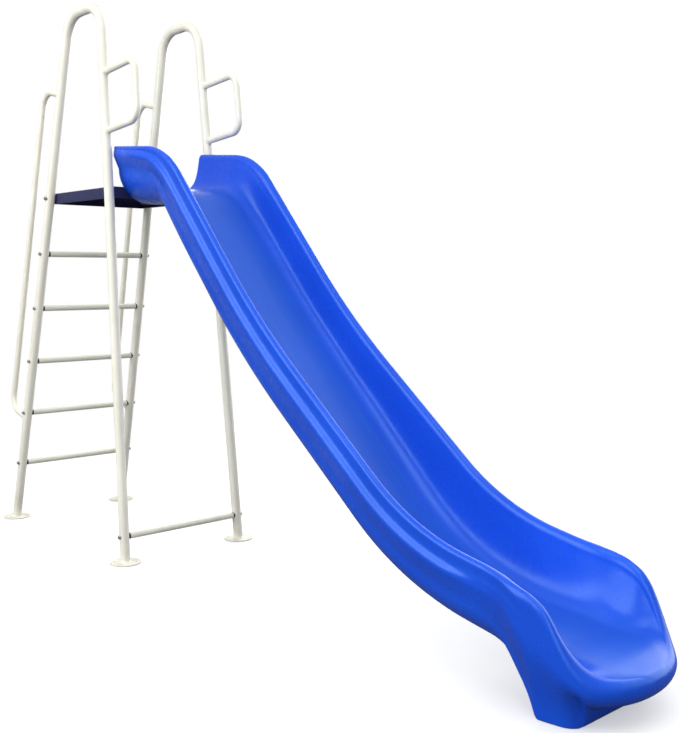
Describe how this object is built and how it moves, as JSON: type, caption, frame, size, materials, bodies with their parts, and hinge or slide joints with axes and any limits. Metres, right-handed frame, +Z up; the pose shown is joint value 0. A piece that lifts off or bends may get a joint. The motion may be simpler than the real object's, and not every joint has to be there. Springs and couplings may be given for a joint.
{
  "type": "pool slide",
  "caption": "Free-standing poolside slide: bent-tube ladder frame with rungs, handrails and a deck, and a deep moulded chute ending in a rounded nose.",
  "frame": {"origin": "on the ground, midway along the slide's overall length and on its plane of symmetry", "axes": "+X down the slide from ladder to nose, +Y to the left of someone facing down the slide, +Z up"},
  "size_m": [4.06, 0.838, 2.7761],
  "materials": {
    "cream_paint": "satin powder coat",
    "navy_paint": "satin powder coat",
    "blue_plastic": "glossy moulded polyethylene",
    "black_plastic": "moulded",
    "zinc_steel": "zinc plated",
    "insert_brass": "turned"
  },
  "bodies": {
    "root": {"left_arch_tube": "cream_paint", "left_handrail": "cream_paint", "left_grab_loop": "cream_paint", "front_left_foot_plate": "cream_paint", "rear_left_foot_plate": "cream_paint", "right_arch_tube": "cream_paint", "right_handrail": "cream_paint", "right_grab_loop": "cream_paint", "front_right_foot_plate": "cream_paint", "rear_right_foot_plate": "cream_paint", "rung_1": "cream_paint", "rung_2": "cream_paint", "rung_3": "cream_paint", "rung_4": "cream_paint", "rung_5": "cream_paint", "front_brace": "cream_paint", "tie_bolts": "zinc_steel", "tie_washers": "zinc_steel", "tie_end_plugs": "black_plastic", "tie_inserts": "zinc_steel", "deck": "navy_paint", "deck_stiffeners": "navy_paint", "deck_lugs": "cream_paint", "deck_leg_bolts": "zinc_steel", "deck_leg_washers": "zinc_steel", "deck_lug_bolts": "zinc_steel", "deck_nut_washers": "zinc_steel", "deck_nuts": "zinc_steel", "chute": "blue_plastic", "chute_bolts": "zinc_steel", "chute_washers": "zinc_steel", "chute_inserts": "insert_brass"}
  },
  "joints": []
}
